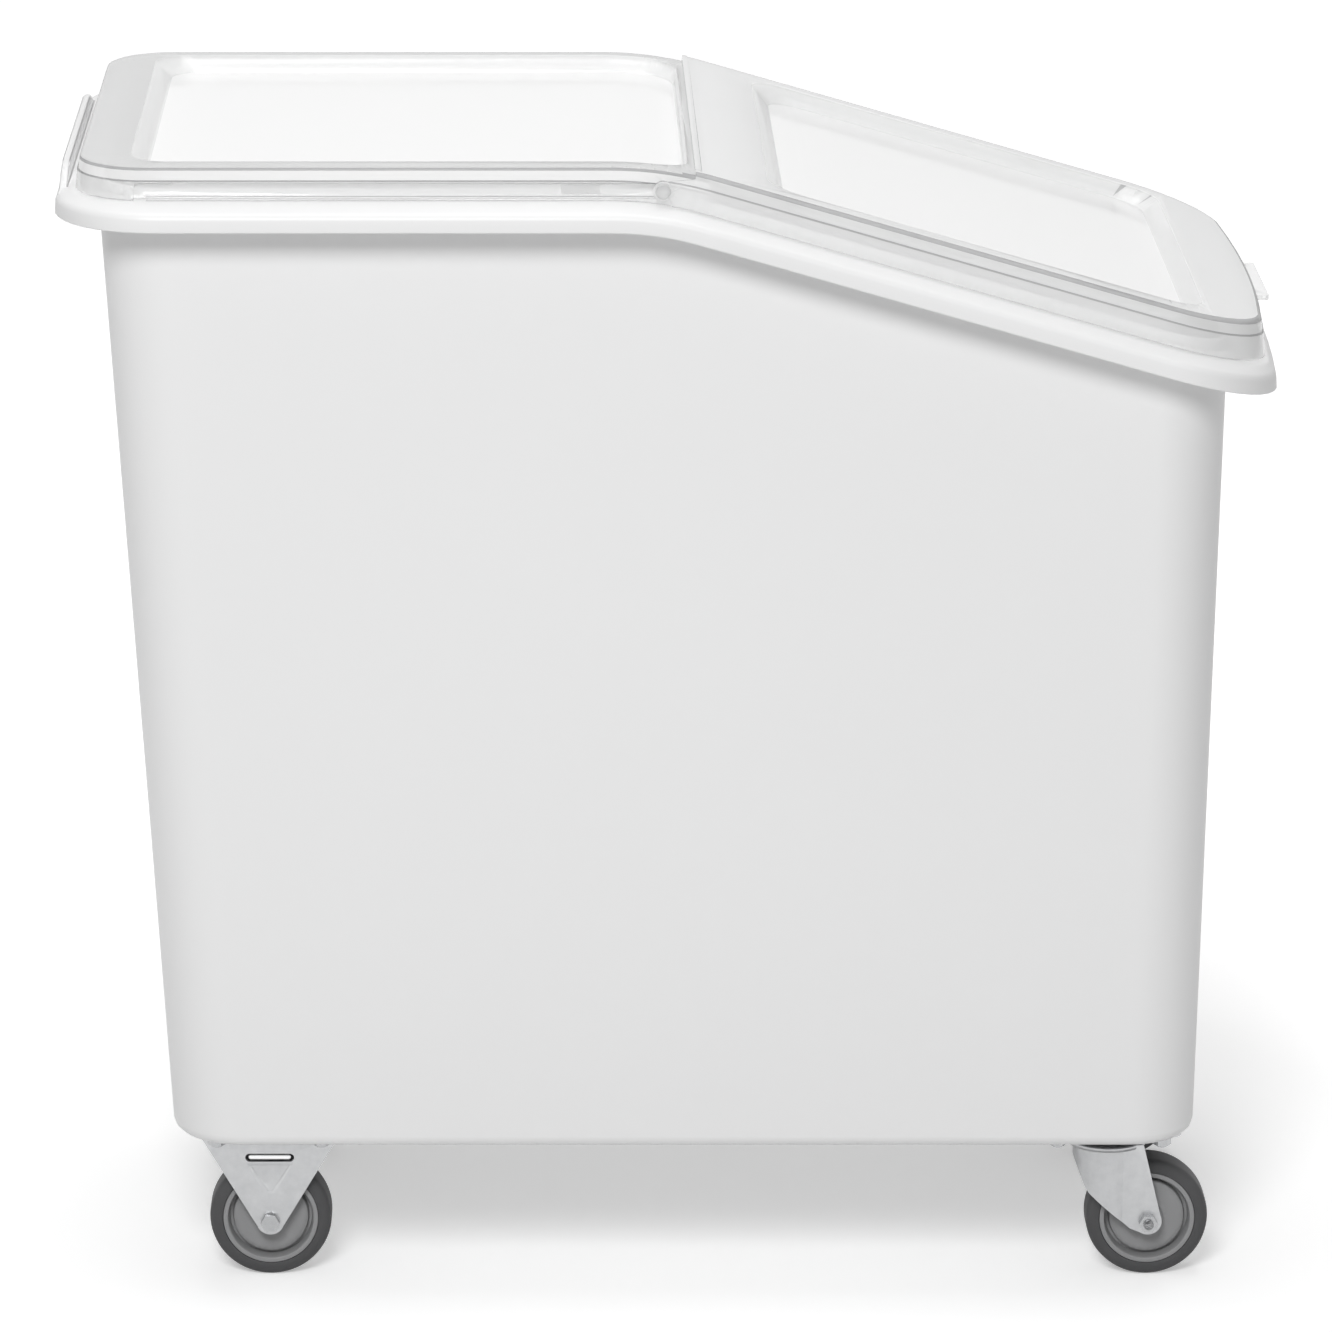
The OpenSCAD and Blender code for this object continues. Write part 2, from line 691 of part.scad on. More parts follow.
// Swivel head: plate, race and balls above, fork crown below, held by the king pin
head_z = floor_z - head_h;
crown_t = 3;
crown_top = head_z + crown_t;
race_in = race_d / 2 - 3.2;
ball_z = floor_z - swivel_plate_t - 0.9 - ball_d / 2;
seat_in = king_d / 2 + 1.6;
seat_out = race_in - 0.8;
race_low = crown_top + 1.8;
ball_clear = 0.3;

module ball_groove() {
    rotate_extrude() translate([ball_circle / 2, ball_z]) circle(ball_d / 2 + ball_clear, $fn = 24);
}

module swivel_plate() {
    color("lightsteelblue") difference() {
        translate([0, 0, floor_z - swivel_plate_t]) linear_extrude(swivel_plate_t)
            plate_outline();
        translate([0, 0, floor_z - swivel_plate_t - 1])
            cylinder(h = swivel_plate_t + 2, d = king_d + 2 * hole_gap);
        translate([0, 0, floor_z - 1.6])
            cylinder(h = 1.6 + eps, d1 = king_d + 2 * hole_gap, d2 = king_d + 3.2);
    }
}

module swivel_race() {
    top = floor_z - swivel_plate_t;
    color("lightsteelblue") difference() {
        rotate_extrude() polygon([
            [seat_in, top], [race_d / 2 - 1, top], [race_d / 2, top - 1],
            [race_d / 2, top - 3], [race_d / 2 - 0.9, top - 3.4], [race_d / 2 - 0.9, race_low],
            [race_in, race_low], [race_in, ball_z + 0.4], [seat_in, ball_z + 0.4]
        ]);
        ball_groove();
    }
}

module swivel_balls() {
    color("silver") for (i = [0 : ball_n - 1]) rotate(360 * i / ball_n)
        translate([ball_circle / 2, 0, ball_z]) sphere(d = ball_d, $fn = 16);
}

module king_pin() {
    head_low = head_z - 0.3;
    color("silver") {
        translate([0, 0, head_low - 1]) cylinder(h = floor_z - 0.5 + eps - head_low, d = king_d);
        translate([0, 0, head_low - 2]) cylinder(h = 2, d = king_d + 8);
        translate([0, 0, head_low - 3.2]) cylinder(h = 1.2 + eps, d1 = king_d + 3, d2 = king_d + 8);
        translate([0, 0, floor_z - 1.5])
            cylinder(h = 1.4, d1 = king_d, d2 = king_d + 2.6);
    }
}

crease_x = 10.6;
web_r = norm([crease_x, cheek_out - 0.45]);
crown_r = 25;
fork_half = cheek_out;

module fork_side() {
    axle = [trail, axle_z];
    top = crown_top - 0.5;
    web_low = [-13, floor_z - 42.6];
    toe = [trail - 11, axle_z - 4.5];
    difference() {
        union() {
            polygon([
                [-crown_r, top], web_low + [-1.2, 3], web_low + [0, 1], web_low + [1.8, -1.6],
                toe, touch(toe, axle, tip_r, 1), touch([21.7, top], axle, tip_r, -1), [21.7, top]
            ]);
            translate(axle) circle(tip_r);
        }
        translate(axle) circle(d = bolt_d + 2 * hole_gap);
    }
}

module fork_wall() {
    low = axle_z - tip_r - 5;
    difference() {
        translate([0, 0, low]) cylinder(h = crown_top - low, r = web_r);
        translate([0, 0, low - 1]) cylinder(h = crown_top - low + 2, r = web_r - sheet);
        translate([crease_x, -web_r - 1, low - 1])
            cube([web_r, 2 * web_r + 2, crown_top - low + 2]);
    }
    for (s = [0, 1]) mirror([0, s, 0]) translate([crease_x - 1.2, cheek_in, low])
        cube([trail + tip_r + 3, sheet, crown_top - low]);
}

module swivel_fork() {
    color("lightsteelblue") difference() {
        union() {
            intersection() {
                fork_wall();
                side_slab(-web_r - 1, web_r + 1) fork_side();
            }
            rotate_extrude() polygon([
                [king_d / 4, head_z], [crown_r, head_z], [crown_r, crown_top - 0.8],
                [crown_r - 0.8, crown_top], [seat_out, crown_top], [seat_out, ball_z - 0.4],
                [king_d / 4, ball_z - 0.4]
            ]);
        }
        translate([0, 0, head_z - 1]) cylinder(h = head_h, r = king_d / 2 + run_gap);
        ball_groove();
    }
}

// Wheel
tyre_in = wheel_d / 2 - tyre_t;
tread_half = tread_w / 2;
hub_r = tyre_in - 0.05;
boss_half = boss_l / 2;
bore_r = sleeve_d / 2 + run_gap;
flange_half = tread_half - 0.4;
trough_r = hub_r - ring_w;
disc_r = trough_r - 3.6;

module about_axle() {
    translate([0, 0, axle_z]) rotate([90, 0, 0]) children();
}

module tyre() {
    r = wheel_d / 2;
    k = shoulder_r * 0.29;
    color("dimgray") about_axle() rotate_extrude($fn = 72) polygon([
        [tyre_in, -tread_half + 0.5], [tyre_in + 0.5, -tread_half],
        [r - shoulder_r * 1.2, -tread_half], [r - k * 1.6, -tread_half + k * 0.9],
        [r - k * 0.5, -tread_half + shoulder_r * 0.6], [r, -tread_half + shoulder_r * 1.3],
        [r, tread_half - shoulder_r * 1.3], [r - k * 0.5, tread_half - shoulder_r * 0.6],
        [r - k * 1.6, tread_half - k * 0.9], [r - shoulder_r * 1.2, tread_half],
        [tyre_in + 0.5, tread_half], [tyre_in, tread_half - 0.5]
    ]);
}

module hub() {
    color("gray") about_axle() rotate_extrude($fn = 60) polygon(concat(
        hub_face(1), [for (i = [len(hub_face(1)) - 1 : -1 : 0])
            [hub_face(1)[i].x, -hub_face(1)[i].y]]));
}

// One face of the hub's section, from the bore outwards
function hub_face(s) = [
    [bore_r, s * boss_half], [boss_d / 2 - 0.8, s * boss_half],
    [boss_d / 2, s * (boss_half - 0.8)], [boss_d / 2 + 0.6, s * (flange_half - 3.4)],
    [disc_r, s * (flange_half - 3.8)], [disc_r + 1, s * (web_t / 2)],
    [trough_r - 1, s * (web_t / 2)], [trough_r, s * (flange_half - 0.6)],
    [trough_r + 0.6, s * flange_half], [hub_r - 0.3, s * flange_half],
    [hub_r, s * (flange_half - 0.3)]
];

module axle_sleeve() {
    color("silver") about_axle() difference() {
        cylinder(h = cheek_gap - 0.1, d = sleeve_d, center = true);
        cylinder(h = cheek_gap + 1, d = bolt_d + 2 * hole_gap, center = true);
    }
}

module hex(h) {
    cylinder(h = h, d = hex_af / cos(30), $fn = 6);
}

// The bolt's head lies on the -Y side; turned moves it to the other side
module axle_bolt(turned) {
    thread_end = cheek_out + nut_h + 2;
    color("silver") translate([0, 0, axle_z]) rotate([turned ? -90 : 90, 0, 0]) {
        translate([0, 0, -thread_end]) cylinder(h = thread_end + cheek_out + 0.05, d = bolt_d);
        translate([0, 0, cheek_out + 0.05]) hex(hex_h);
    }
}

module axle_nut(turned) {
    color("silver") translate([0, 0, axle_z]) rotate([turned ? -90 : 90, 0, 0])
        translate([0, 0, -cheek_out - nut_h - 0.05]) difference() {
            hex(nut_h);
            translate([0, 0, -1]) cylinder(h = nut_h + 2, d = bolt_d + 2 * hole_gap);
        }
}

module rear_caster(side) { at_caster(rear_axle_x, side) children(); }
module front_caster(side) { at_caster(swivel_x, side) children(); }
module front_wheel(side) { at_caster(swivel_x + trail, side) children(); }

module rear_right_bracket() { rear_caster(-1) rigid_bracket(); }
module rear_right_tyre() { rear_caster(-1) tyre(); }
module rear_right_hub() { rear_caster(-1) hub(); }
module rear_right_sleeve() { rear_caster(-1) axle_sleeve(); }
module rear_right_axle_bolt() { rear_caster(-1) axle_bolt(false); }
module rear_right_axle_nut() { rear_caster(-1) axle_nut(false); }
module rear_left_bracket() { rear_caster(1) rigid_bracket(); }
module rear_left_tyre() { rear_caster(1) tyre(); }
module rear_left_hub() { rear_caster(1) hub(); }
module rear_left_sleeve() { rear_caster(1) axle_sleeve(); }
module rear_left_axle_bolt() { rear_caster(1) axle_bolt(false); }
module rear_left_axle_nut() { rear_caster(1) axle_nut(false); }
module front_right_plate() { front_caster(-1) swivel_plate(); }
module front_right_race() { front_caster(-1) swivel_race(); }
module front_right_balls() { front_caster(-1) swivel_balls(); }
module front_right_king_pin() { front_caster(-1) king_pin(); }
module front_right_fork() { front_caster(-1) swivel_fork(); }
module front_right_tyre() { front_wheel(-1) tyre(); }
module front_right_hub() { front_wheel(-1) hub(); }
module front_right_sleeve() { front_wheel(-1) axle_sleeve(); }
module front_right_axle_bolt() { front_wheel(-1) axle_bolt(true); }
module front_right_axle_nut() { front_wheel(-1) axle_nut(true); }
module front_left_plate() { front_caster(1) swivel_plate(); }
module front_left_race() { front_caster(1) swivel_race(); }
module front_left_balls() { front_caster(1) swivel_balls(); }
module front_left_king_pin() { front_caster(1) king_pin(); }
module front_left_fork() { front_caster(1) swivel_fork(); }
module front_left_tyre() { front_wheel(1) tyre(); }
module front_left_hub() { front_wheel(1) hub(); }
module front_left_sleeve() { front_wheel(1) axle_sleeve(); }
module front_left_axle_bolt() { front_wheel(1) axle_bolt(true); }
module front_left_axle_nut() { front_wheel(1) axle_nut(true); }

// Bolts that hold the casters: flush heads in the tub's floor, washers and nuts below the plates
sink_lip = 0.6;
sink_t = (head_d - bolt_d) / 2 + sink_lip;
washer_top = floor_z - max(plate_t, swivel_plate_t) - 0.05;
nut_top = washer_top - washer_t - 0.05;

module caster_bolts() {
    low = nut_top - nut_h - 1.5;
    color("silver") at_plate_bolts() {
        translate([0, 0, low]) cylinder(h = inner_floor - sink_t + eps - low, d = bolt_d, $fn = 24);
        translate([0, 0, inner_floor - sink_t])
            cylinder(h = sink_t - sink_lip, d1 = bolt_d, d2 = head_d, $fn = 24);
        translate([0, 0, inner_floor - sink_lip - eps])
            cylinder(h = sink_lip - hole_gap + eps, d = head_d, $fn = 24);
    }
}

module caster_washers() {
    color("silver") at_plate_bolts() translate([0, 0, washer_top - washer_t]) difference() {
        cylinder(h = washer_t, d = washer_d, $fn = 32);
        translate([0, 0, -1]) cylinder(h = washer_t + 2, d = bolt_d + 2 * hole_gap, $fn = 32);
    }
}

module caster_nuts() {
    color("silver") at_plate_bolts() translate([0, 0, nut_top - nut_h]) difference() {
        hex(nut_h);
        translate([0, 0, -1]) cylinder(h = nut_h + 2, d = bolt_d + 2 * hole_gap, $fn = 24);
    }
}

tub();
rear_lid();
front_lid();
lid_pin_right();
lid_pin_left();
rear_right_bracket();
rear_right_tyre();
rear_right_hub();
rear_right_sleeve();
rear_right_axle_bolt();
rear_right_axle_nut();
rear_left_bracket();
rear_left_tyre();
rear_left_hub();
rear_left_sleeve();
rear_left_axle_bolt();
rear_left_axle_nut();
front_right_plate();
front_right_race();
front_right_balls();
front_right_king_pin();
front_right_fork();
front_right_tyre();
front_right_hub();
front_right_sleeve();
front_right_axle_bolt();
front_right_axle_nut();
front_left_plate();
front_left_race();
front_left_balls();
front_left_king_pin();
front_left_fork();
front_left_tyre();
front_left_hub();
front_left_sleeve();
front_left_axle_bolt();
front_left_axle_nut();
caster_bolts();
caster_washers();
caster_nuts();
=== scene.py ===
# Rolling flour bin: looks, light and camera on the fixed frame.
import json
import math
import bpy
import bmesh
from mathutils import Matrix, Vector

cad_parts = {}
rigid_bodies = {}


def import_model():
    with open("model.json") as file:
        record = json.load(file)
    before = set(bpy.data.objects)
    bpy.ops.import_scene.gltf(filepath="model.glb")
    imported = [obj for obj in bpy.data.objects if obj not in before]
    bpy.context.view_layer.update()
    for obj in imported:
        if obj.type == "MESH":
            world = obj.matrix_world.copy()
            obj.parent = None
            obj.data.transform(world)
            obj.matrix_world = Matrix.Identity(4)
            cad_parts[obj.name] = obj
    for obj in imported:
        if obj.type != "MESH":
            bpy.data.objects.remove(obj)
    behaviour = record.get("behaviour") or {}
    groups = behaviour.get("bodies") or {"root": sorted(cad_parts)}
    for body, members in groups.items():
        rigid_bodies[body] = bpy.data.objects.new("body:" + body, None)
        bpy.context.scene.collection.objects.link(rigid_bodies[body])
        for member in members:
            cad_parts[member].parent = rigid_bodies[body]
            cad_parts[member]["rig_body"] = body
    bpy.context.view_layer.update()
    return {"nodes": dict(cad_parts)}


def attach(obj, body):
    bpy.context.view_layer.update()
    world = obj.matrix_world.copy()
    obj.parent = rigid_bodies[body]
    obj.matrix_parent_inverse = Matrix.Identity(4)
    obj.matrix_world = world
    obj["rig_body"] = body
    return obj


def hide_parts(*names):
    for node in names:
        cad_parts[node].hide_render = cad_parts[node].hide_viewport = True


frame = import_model()
print("frame loaded:", len(frame["nodes"]), "nodes")

# The camera: same stand and lens as the photograph
view = {"place": (-0.0885, -3.9628, 1.5096), "tilt": 16.2, "lens": 180.1, "shiftX": 0.108}

cameraData = bpy.data.cameras.new("camera")
cameraData.lens = view["lens"]
cameraData.sensor_width = 36
cameraData.shift_x = view["shiftX"]
cameraData.clip_start = 0.1
cameraData.clip_end = 60
camera = bpy.data.objects.new("camera", cameraData)
camera.location = view["place"]
camera.rotation_euler = (math.radians(90 - view["tilt"]), 0, 0)
bpy.context.scene.collection.objects.link(camera)
bpy.context.scene.camera = camera
print("camera set")


# Shader maths: a socket that adds its own nodes
class Wire:
    def __init__(self, tree, socket):
        self.tree = tree
        self.socket = socket

    def join(self, operation, other, swapped=False):
        node = self.tree.nodes.new("ShaderNodeMath")
        node.operation = operation
        pair = (other, self) if swapped else (self, other)
        for index, value in enumerate(pair):
            if isinstance(value, Wire):
                self.tree.links.new(value.socket, node.inputs[index])
            else:
                node.inputs[index].default_value = value
        return Wire(self.tree, node.outputs[0])

    def __add__(self, other):
        return self.join("ADD", other)

    __radd__ = __add__

    def __rsub__(self, other):
        return self.join("SUBTRACT", other, True)

    def __mul__(self, other):
        return self.join("MULTIPLY", other)

    __rmul__ = __mul__

    def __gt__(self, other):
        return self.join("GREATER_THAN", other)


# One material, or the world, under construction: its tree and the single way to add a node
class Paint:
    def __init__(self, owner, end="OutputMaterial"):
        owner.use_nodes = True
        self.owner = owner
        self.tree = owner.node_tree
        self.tree.nodes.clear()
        self.end = self.node(end)

    # a socket is named by its label, with _ for a space, or by its number, as in in6
    def node(self, kind, settings=None, **values):
        made = self.tree.nodes.new("ShaderNode" + kind)
        for key, value in (settings or {}).items():
            if key == "stops":
                ramp = made.color_ramp
                while len(ramp.elements) < len(value):
                    ramp.elements.new(0.5)
                for stop, (at, colour) in zip(ramp.elements, value):
                    stop.position = at
                    stop.color = colour
            else:
                setattr(made, key, value)
        for key, value in values.items():
            socket = made.inputs[int(key[2:]) if key[2:].isdigit() else key.replace("_", " ")]
            if isinstance(value, Wire):
                self.tree.links.new(value.socket, socket)
            else:
                socket.default_value = value
        return made

    def add(self, kind, settings=None, output=0, **values):
        return Wire(self.tree, self.node(kind, settings, **values).outputs[output])

    def finish(self, surface):
        self.tree.links.new(surface.socket, self.end.inputs["Surface"])
        return self.owner


def place(paint):
    return paint.add("TexCoord", output="Object")


# The colour mix has its factor on input 0, its colours on 6 and 7 and its result on output 2
def blend(paint, share, first, second):
    return paint.add("Mix", {"data_type": "RGBA"}, output=2, in0=share, in6=first + (1,), in7=second + (1,))


# An opaque finish: two colours in clouds, a roughness that follows them and a fine grain
def mottled(name, look, colour, other):
    paint = Paint(bpy.data.materials.new(name))
    where = place(paint)
    cloud = paint.add("TexNoise", Vector=where, Scale=look["clouds"], Detail=look["detail"],
                      Roughness=look["crisp"])
    grain = paint.add("TexNoise", Vector=where, Scale=look["grain"], Detail=2.0)
    bump = paint.add("Bump", Height=grain, Strength=look["bump"], Distance=look["depth"])
    skin = paint.add("BsdfPrincipled", Base_Color=blend(paint, cloud * look["share"], colour, other),
                     Roughness=look["rough"] + cloud * look["spread"], Normal=bump,
                     Metallic=look["metal"], IOR=1.5)
    return paint.finish(skin)


# the near-white second colour is painted light for the grip ridge's face towards the lid, which stands in
# shade
tubLook = {"colour": (0.80, 0.80, 0.80), "paintedLight": (0.97, 0.97, 0.97), "shade": (0.765, 0.765, 0.768),
           "clouds": 3.0, "detail": 3.0, "crisp": 0.5, "share": 0.6, "rough": 0.38, "spread": 0.08,
           "grain": 1400.0, "bump": 0.04, "depth": 0.0003, "metal": 0.0}


def tubPlastic(name, colour):
    return mottled(name, tubLook, colour, tubLook["shade"])


# Each region of a lid: its tint, the cover it gives when seen face on, and what differs from the plain sheet
plainSheet = {"rough": 0.1, "gloss": 0.5, "turned": 0.3, "scuffs": 9.0, "grain": 1200.0, "depth": 0.0003}
lidLook = {
    "skirt": {"tint": (0.80, 0.802, 0.802), "cover": 0.4, "turned": 0.5},
    "band": {"tint": (0.95, 0.95, 0.95), "cover": 0.62},
    "border": {"tint": (0.65, 0.652, 0.652), "cover": 0.64, "rough": 0.42, "frosted": 0.3},
    "frontBorder": {"tint": (0.80, 0.802, 0.802), "cover": 0.64, "rough": 0.42, "frosted": 0.3},
    "frontBand": {"tint": (0.78, 0.782, 0.782), "cover": 0.5},
    "window": {"tint": (0.90, 0.90, 0.90), "cover": 0.3, "turned": 0.9},
    # painted shade: this dark grey tint and low gloss stand in for the dark refraction and shadow lines
    # along the lids' top edges, steps and ends
    "edge": {"tint": (0.34, 0.343, 0.345), "cover": 0.62, "turned": 0.2, "rough": 0.4, "gloss": 0.1},
}
lidShadow = 0.1


# Clear plastic as a thin milky sheet: it covers more when turned away, and casts a tenth of its shadow
def clearPlastic(region):
    look = dict(plainSheet, **lidLook[region])
    paint = Paint(bpy.data.materials.new(region + "LidPlastic"))
    where = place(paint)
    scuff = paint.add("TexNoise", Vector=where, Scale=look["scuffs"], Detail=5.0)
    turned = paint.add("LayerWeight", output="Facing", Blend=0.5)
    shaded = paint.add("LightPath", output="Is Shadow Ray")
    cover = look["cover"] + turned * turned * look["turned"]
    relief = {}
    if "frosted" in look:
        grain = paint.add("TexNoise", Vector=where, Scale=look["grain"], Detail=3.0)
        relief["Normal"] = paint.add("Bump", Height=grain, Strength=look["frosted"], Distance=look["depth"])
    skin = paint.add("BsdfPrincipled", Base_Color=look["tint"] + (1,),
                     Roughness=look["rough"] * (0.8 + scuff * 0.4),
                     Alpha=cover * (1 - shaded * (1 - lidShadow)),
                     IOR=1.5, Specular_IOR_Level=look["gloss"], **relief)
    return paint.finish(skin)


rubberLook = {"colour": (0.046, 0.046, 0.048), "worn": (0.066, 0.066, 0.068),
              "clouds": 60.0, "detail": 6.0, "crisp": 0.5, "share": 1.0, "rough": 0.6, "spread": 0.1,
              "grain": 900.0, "bump": 0.15, "depth": 0.0002, "metal": 0.0}


def greyRubber():
    return mottled("greyRubber", rubberLook, rubberLook["colour"], rubberLook["worn"])


hubLook = {"colour": (0.285, 0.286, 0.29), "dark": (0.255, 0.256, 0.26),
           "clouds": 90.0, "detail": 4.0, "crisp": 0.5, "share": 1.0, "rough": 0.45, "spread": 0.08,
           "grain": 1100.0, "bump": 0.1, "depth": 0.0002, "metal": 0.0}


def greyNylon():
    return mottled("greyNylon", hubLook, hubLook["colour"], hubLook["dark"])


zincCoat = {"clouds": 140.0, "detail": 6.0, "crisp": 0.6, "share": 1.0, "spread": 0.12,
            "grain": 1600.0, "bump": 0.08, "depth": 0.0002, "metal": 1.0}
zincLooks = {
    "sheet": {"colour": (0.56, 0.565, 0.57), "dull": (0.42, 0.425, 0.435), "rough": 0.28},
    "fastener": {"colour": (0.50, 0.505, 0.51), "dull": (0.36, 0.365, 0.375), "rough": 0.2},
    # painted highlight: the slot lips' zinc is near white, far lighter than the bracket sheet, for the glint
    # on the pressed lips
    "lip": {"colour": (0.93, 0.93, 0.93), "dull": (0.85, 0.85, 0.855), "rough": 0.3},
}


def zincSteel(name):
    look = dict(zincCoat, **zincLooks[name])
    return mottled(name + "Zinc", look, look["colour"], look["dull"])


looks = {
    "tub": tubPlastic("whiteTubPlastic", tubLook["colour"]),
    # painted light: a near-white copy of the tub plastic for the ridge's shaded face towards the lid
    "ridge": tubPlastic("ridgePaintedLightPlastic", tubLook["paintedLight"]),
    "rubber": greyRubber(),
    "hub": greyNylon(),
}
for region in lidLook:
    looks[region] = clearPlastic(region)
for name in zincLooks:
    looks[name] = zincSteel(name)
print("materials made:", len(looks))

# Smooth copies of the frame's nodes
weld = {"gap": 0.00001, "sliver": 0.000001}


def smoothCopy(nodeName, pieceName, sharpAngle, materials, chooser=None, reshape=None):
    source = frame["nodes"][nodeName]
    mesh = source.data.copy()
    mesh.name = pieceName
    mesh.materials.clear()
    for material in materials:
        mesh.materials.append(material)
    shape = bmesh.new()
    shape.from_mesh(mesh)
    bmesh.ops.remove_doubles(shape, verts=shape.verts, dist=weld["gap"])
    bmesh.ops.dissolve_degenerate(shape, edges=shape.edges, dist=weld["sliver"])
    if reshape:
        reshape(shape)
    shape.normal_update()
    for face in shape.faces:
        face.smooth = True
        face.material_index = chooser(face) if chooser else 0
    shape.to_mesh(mesh)
    shape.free()
    mesh.set_sharp_from_angle(angle=math.radians(sharpAngle))
    piece = bpy.data.objects.new(pieceName, mesh)
    bpy.context.scene.collection.objects.link(piece)
    weigh = piece.modifiers.new("weighted", "WEIGHTED_NORMAL")
    weigh.keep_sharp = True
    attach(piece, source["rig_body"])
    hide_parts(nodeName)
    return piece


# The look and the sharpest smooth angle of each kind of piece
finishFor = {
    "tub": ("tub", 32), "bracket": ("sheet", 30), "plate": ("sheet", 30), "race": ("sheet", 30),
    "fork": ("sheet", 30), "tyre": ("rubber", 40), "hub": ("hub", 30), "balls": ("fastener", 60),
}

# The mouth of a rear bracket's dimple opens out, so that its sides slope like a pressing's
bracketMiddle = -0.24338
dimple = {"low": 0.0553, "middle": 0.07, "top": 0.0762, "half": 0.0135, "skin": 0.00005,
          "wider": 0.0014, "higher": 0.0005, "deeper": 0.0014}


def openDimple(shape):
    sides = [corner.co.y for corner in shape.verts if dimple["low"] < corner.co.z < dimple["top"]]
    for corner in shape.verts:
        spot = corner.co
        reach = spot.x - bracketMiddle
        if abs(reach) < dimple["half"] and dimple["low"] < spot.z < dimple["top"] \
                and min(spot.y - min(sides), max(sides) - spot.y) < dimple["skin"]:
            spot.x += math.copysign(dimple["wider"], reach)
            spot.z += dimple["higher"] if spot.z > dimple["middle"] else -dimple["deeper"]


# The grip ridge's face towards the lid, which stands in shade, gets a near-white copy of the tub plastic:
# painted light, standing in for light let through the thin ridge
ridge = {"front": -0.34, "low": 0.6925, "facing": 0.5}


def paintedLightOnRidge(face):
    spot = face.calc_center_median()
    paintedLightFace = spot.x < ridge["front"] and spot.z > ridge["low"] and face.normal.x > ridge["facing"]
    return 1 if paintedLightFace else 0


for nodeName in sorted(frame["nodes"]):
    if nodeName in ("rear_lid", "front_lid") or nodeName.startswith("lid_pin"):
        continue
    look, angle = finishFor.get(nodeName.split("_")[-1], ("fastener", 30))
    if nodeName == "tub":
        smoothCopy(nodeName, "tub_shown", angle, [looks["tub"], looks["ridge"]], paintedLightOnRidge)
    elif nodeName.endswith("bracket"):
        smoothCopy(nodeName, nodeName + "_shown", angle, [looks[look]], reshape=openDimple)
    else:
        smoothCopy(nodeName, nodeName + "_shown", angle, [looks[look]])
print("rigid pieces dressed")

# Lips pressed out of the slots in the rear brackets: balls stretched along the slot, in near-white zinc that
# is a painted highlight
slotLip = {"z": 0.0793, "length": 0.0262, "height": 0.0032, "depth": 0.0016, "inset": 0.0004,
           "nearby": 0.012, "seam": 0.001}


def stretchLip(corner, cheek, inward):
    spot = corner.co
    reach = 0
    if abs(spot.x) > slotLip["seam"]:
        reach = math.copysign((slotLip["length"] - slotLip["height"]) / 2, spot.x)
    across = cheek + inward * (slotLip["inset"] + slotLip["depth"] / 2)
    corner.co = Vector((bracketMiddle + spot.x * slotLip["height"] + reach,
                        across + spot.y * slotLip["depth"],
                        slotLip["z"] + spot.z * slotLip["height"]))


for side in ("right", "left"):
    bracket = frame["nodes"]["rear_" + side + "_bracket"]
    sides = [corner.co.y for corner in bracket.data.vertices
             if abs(corner.co.z - slotLip["z"]) < slotLip["nearby"]]
    shape = bmesh.new()
    for cheek, inward in ((min(sides), 1), (max(sides), -1)):
        ball = bmesh.ops.create_uvsphere(shape, u_segments=24, v_segments=16, radius=0.5)["verts"]
        for corner in ball:
            stretchLip(corner, cheek, inward)
    for face in shape.faces:
        face.smooth = True
    mesh = bpy.data.meshes.new("rear_" + side + "_slot_lips")
    shape.to_mesh(mesh)
    shape.free()
    mesh.materials.append(looks["lip"])
    piece = bpy.data.objects.new(mesh.name, mesh)
    bpy.context.scene.collection.objects.link(piece)
    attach(piece, bracket["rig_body"])
print("slot lips made")

# Regions of a lid, found from the height above the ledge that the lids stand on
lidForm = {"flat": 0.6905, "bend": -0.0085, "slope": math.radians(16.1), "radius": 0.2, "sheet": 0.0025,
           "windowHalf": 0.163, "detent": -0.0545, "detentHalf": 0.0115}
# depths below a lid's top, and how near to one a face has to be
lidDepth = {"edge": 0.0027, "recess": 0.004, "step": 0.00845, "track": 0.009,
            "aboveTop": 0.0004, "nearTop": 0.0005, "nearStep": 0.0006}
# parts of a face's normal
lidTurn = {"level": 0.9, "leaning": (0.5, 0.85), "upright": 0.5, "endways": 0.3}
arcStart = lidForm["bend"] - lidForm["radius"] * math.tan(lidForm["slope"] / 2)


def riseAbove(spot):
    radius = lidForm["radius"]
    centre = lidForm["flat"] - radius
    reach = Vector((spot.x - arcStart, spot.z - centre))
    turn = math.atan2(reach.x, reach.y)
    if turn <= 0:
        return spot.z - lidForm["flat"]
    if turn < lidForm["slope"]:
        return reach.length - radius
    return reach.x * math.sin(lidForm["slope"]) + reach.y * math.cos(lidForm["slope"]) - radius


regions = ["skirt", "border", "window", "edge", "band"]


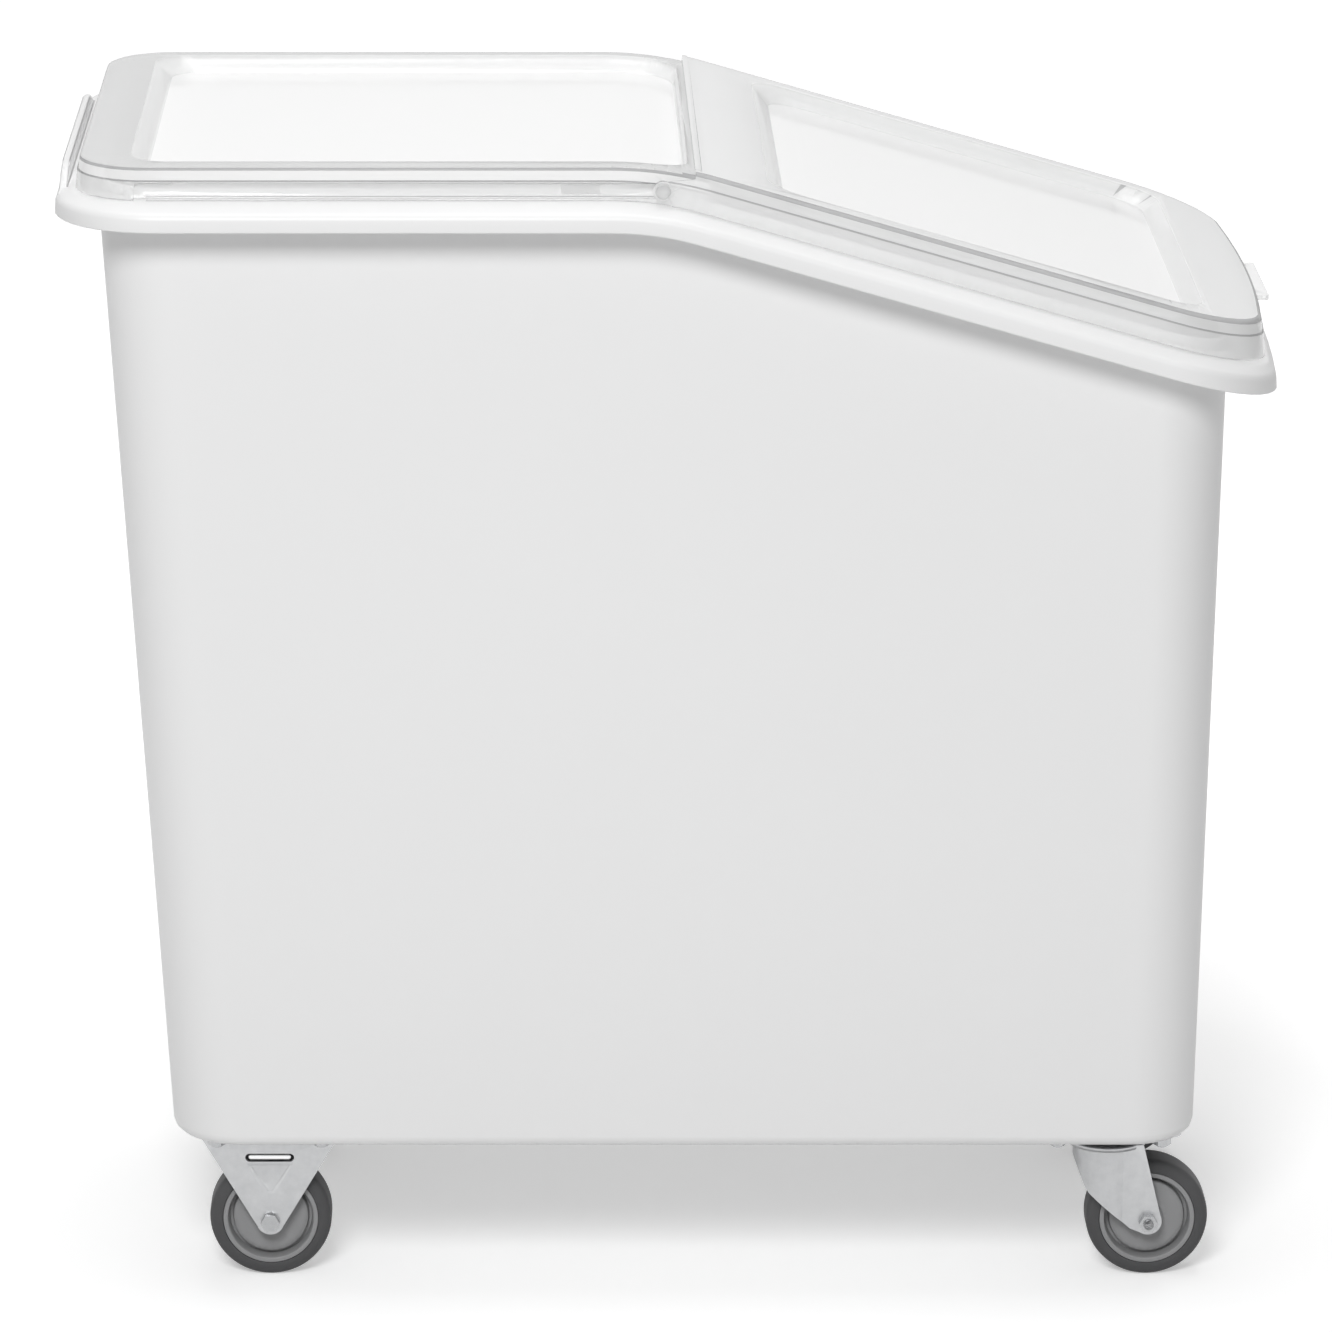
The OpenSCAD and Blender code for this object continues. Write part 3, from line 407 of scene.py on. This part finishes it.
# Faces along the top edges, steps, recess floors and low ends get the dark grey painted shade of lines
def lidRegion(face, top, middle):
    spot = face.calc_center_median()
    normal = face.normal
    depth = top - riseAbove(spot)
    level = abs(normal.z) > lidTurn["level"]
    inside = abs(spot.y) < lidForm["windowHalf"]
    outward = normal.x * (spot.x - middle) + normal.y * spot.y > 0
    low = depth > lidDepth["track"]
    leaning = lidTurn["leaning"][0] < normal.z < lidTurn["leaning"][1]
    if -depth > lidDepth["aboveTop"]:
        return "border"
    if level and min(abs(depth), abs(depth - lidForm["sheet"])) < lidDepth["nearTop"]:
        return "border"
    if not level and depth < lidDepth["edge"] and normal.z > 0:
        return "edge"
    if inside and level:
        return "window"
    if level and depth > lidDepth["recess"]:
        return "edge"
    if outward and leaning and abs(depth - lidDepth["step"]) < lidDepth["nearStep"]:
        return "edge"
    if low and not inside and abs(normal.y) < lidTurn["endways"]:
        return "edge"
    if low and all(abs(corner.co.x - lidForm["detent"]) < lidForm["detentHalf"] for corner in face.verts):
        return "border"
    if outward and abs(normal.z) < lidTurn["upright"] and depth < lidDepth["step"]:
        return "band"
    return "skirt"


# Each lid: its top above the ledge, the middle of its length and the look of each region
lids = {
    "rear_lid": {"top": 0.020, "middle": -0.17, "looks": regions},
    "front_lid": {"top": 0.0228, "middle": 0.18,
                  "looks": ["skirt", "frontBorder", "window", "edge", "frontBand"]},
}
for nodeName, lid in lids.items():
    smoothCopy(nodeName, nodeName + "_shown", 30, [looks[name] for name in lid["looks"]],
               lambda face: regions.index(lidRegion(face, lid["top"], lid["middle"])))
for side in ("right", "left"):
    smoothCopy("lid_pin_" + side, "lid_pin_" + side + "_shown", 30, [looks["border"]])
print("lids dressed")

# Floor, light and background: the floor glows a little, and more beyond the bin
studio = {"floor": 0.86, "near": 0.38, "far": 0.75, "world": 0.26,
          "size": 20, "reach": 5.0, "nearEnds": 0.5, "farStarts": 0.9}

floorMesh = bpy.data.meshes.new("floor")
sheet = bmesh.new()
bmesh.ops.create_grid(sheet, x_segments=1, y_segments=1, size=studio["size"])
sheet.to_mesh(floorMesh)
sheet.free()
floor = bpy.data.objects.new("floor", floorMesh)
bpy.context.scene.collection.objects.link(floor)


def grey(level):
    return (level, level, level, 1)


# 1 for rays that come from the camera, from a mirror or through glass
def seenDirectly(paint):
    path = paint.node("LightPath")
    rays = [Wire(paint.tree, path.outputs[name])
            for name in ("Is Camera Ray", "Is Glossy Ray", "Is Transmission Ray")]
    return rays[0] + rays[1] + rays[2] > 0.5


paint = Paint(bpy.data.materials.new("paleFloor"))
away = paint.add("VectorMath", {"operation": "LENGTH"}, output="Value", in0=place(paint))
stops = [(studio["nearEnds"] / studio["reach"], grey(studio["near"])),
         (studio["farStarts"] / studio["reach"], grey(studio["far"]))]
lift = paint.add("ValToRGB", {"stops": stops}, in0=away * (1 / studio["reach"]))
glow = paint.add("Emission", Color=lift, Strength=seenDirectly(paint))
matt = paint.add("BsdfDiffuse", Color=grey(studio["floor"]))
floorMesh.materials.append(paint.finish(paint.add("AddShader", in0=glow, in1=matt)))

world = bpy.data.worlds.new("studio")
bpy.context.scene.world = world
sky = Paint(world, "OutputWorld")
sky.finish(sky.add("Background", Color=grey(1),
                   Strength=seenDirectly(sky) * (1 - studio["world"]) + studio["world"]))

lamps = {
    "key": {"spot": (-0.6, -3.3, 2.8), "aim": (0, 0, 0.45), "size": 1.3, "power": 92.0},
    "top": {"spot": (0, 0.3, 3.3), "aim": (0, 0, 0.5), "size": 2.2, "power": 37.0},
}
for name, soft in lamps.items():
    data = bpy.data.lights.new(name, "AREA")
    data.shape = "DISK"
    data.size = soft["size"]
    data.energy = soft["power"]
    lamp = bpy.data.objects.new(name, data)
    lamp.location = soft["spot"]
    lamp.rotation_euler = (Vector(soft["aim"]) - Vector(soft["spot"])).to_track_quat("-Z", "Y").to_euler()
    bpy.context.scene.collection.objects.link(lamp)

bpy.context.scene.view_settings.view_transform = "Standard"
print("studio set")

bpy.context.view_layer.update()
